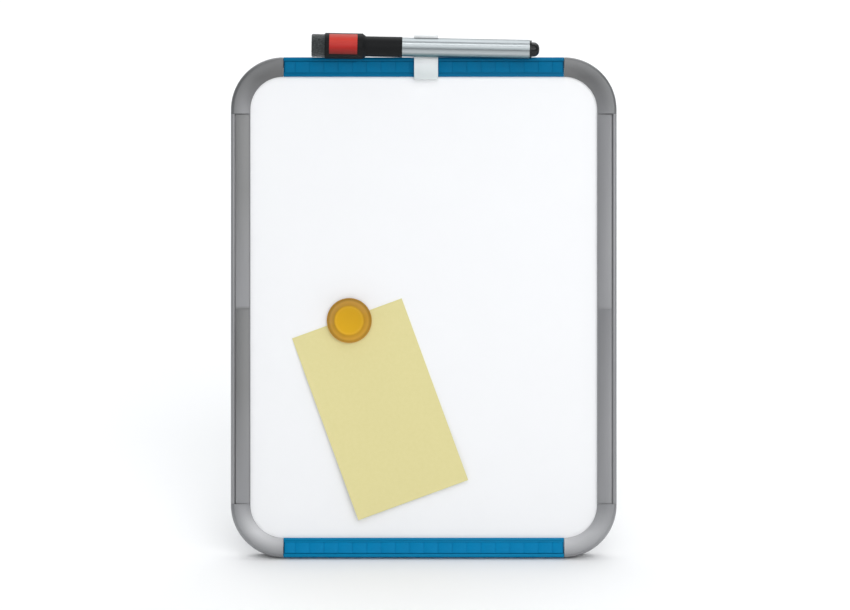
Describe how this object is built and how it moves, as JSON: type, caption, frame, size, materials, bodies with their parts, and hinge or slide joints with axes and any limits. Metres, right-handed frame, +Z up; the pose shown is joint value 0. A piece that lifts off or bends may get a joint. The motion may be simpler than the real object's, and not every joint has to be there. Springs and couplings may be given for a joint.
{
  "type": "desk whiteboard easel",
  "caption": "Desk whiteboard in a rounded blue and grey frame, propped on a folding rear leg, with a marker in a sliding clip, a round magnet and a note card.",
  "frame": {"origin": "on the desk, at the centre of the rubber strip under the bottom rail", "axes": "+Z up, +X to the right as the user faces the board, -Y out of the writing side; the board leans back 18 degrees"},
  "size_m": [0.216, 0.1135, 0.2822],
  "materials": {
    "corner_plastic": "satin silver-grey",
    "side_plastic": "satin silver-grey",
    "inlay_plastic": "satin silver-grey",
    "blue_plastic": "satin",
    "blue_strip": "satin",
    "white_enamel": "gloss enamel",
    "fibreboard": "matt",
    "backing_steel": "satin",
    "foot_rubber": "matt",
    "bracket_steel": "satin",
    "rivet_metal": "bright",
    "pin_metal": "bright",
    "leg_plastic": "satin silver-grey",
    "clip_plastic": "gloss white",
    "barrel_metal": "polished",
    "plug_plastic": "gloss black",
    "holder_plastic": "gloss",
    "nib_felt": "soaked felt",
    "reservoir_fibre": "soaked fibre",
    "cap_plastic": "satin black",
    "label_film": "gloss",
    "eraser_felt": "needled felt",
    "magnet_plastic": "translucent amber",
    "magnet_steel": "nickel plated",
    "note_paper": "matt"
  },
  "bodies": {
    "board": {"corner_top_left": "corner_plastic", "corner_top_right": "corner_plastic", "corner_bottom_left": "corner_plastic", "corner_bottom_right": "corner_plastic", "top_rail": "blue_plastic", "bottom_rail": "blue_plastic", "left_rail": "side_plastic", "right_rail": "side_plastic", "top_strip": "blue_strip", "bottom_strip": "blue_strip", "left_inlay_upper": "inlay_plastic", "left_inlay_lower": "inlay_plastic", "right_inlay_upper": "inlay_plastic", "right_inlay_lower": "inlay_plastic", "writing_sheet": "white_enamel", "core_board": "fibreboard", "backing_sheet": "backing_steel", "foot_strip": "foot_rubber", "hinge_bracket": "bracket_steel", "bracket_rivets": "rivet_metal", "hinge_pin": "pin_metal"},
    "leg": {"easel_leg": "leg_plastic", "leg_foot": "foot_rubber"},
    "clip": {"pen_clip": "clip_plastic"},
    "pen": {"pen_barrel": "barrel_metal", "end_plug": "plug_plastic", "nib_holder": "holder_plastic", "nib": "nib_felt", "ink_reservoir": "reservoir_fibre"},
    "cap": {"pen_cap": "cap_plastic", "cap_label": "label_film", "felt_eraser": "eraser_felt"},
    "magnet": {"magnet_cap": "magnet_plastic", "magnet_disc": "magnet_steel"},
    "note": {"note_card": "note_paper"}
  },
  "joints": [
    {"name": "leg_fold", "type": "hinge", "parent": "board", "child": "leg", "pos_m": [0, 0.0637, 0.17826], "axis": [1, 0, 0], "range_deg": [-30, 0]},
    {"name": "clip_slide", "type": "slide", "parent": "board", "child": "clip", "axis": [1, 0, 0], "range_m": [-0.072, 0.069]},
    {"name": "pen_slide", "type": "slide", "parent": "clip", "child": "pen", "axis": [-0.9998, 0.0057, 0.0174], "range_m": [0, 0.05]},
    {"name": "cap_pull", "type": "slide", "parent": "pen", "child": "cap", "axis": [-0.9998, 0.0057, 0.0174], "range_m": [0, 0.025]},
    {"name": "magnet_pull", "type": "slide", "parent": "board", "child": "magnet", "axis": [0, -0.9511, 0.309], "range_m": [0, 0.025]},
    {"name": "note_swing", "type": "hinge", "parent": "board", "child": "note", "pos_m": [-0.0417, 0.03559, 0.12704], "axis": [0, -0.9511, 0.309], "range_deg": [-30, 45]}
  ]
}
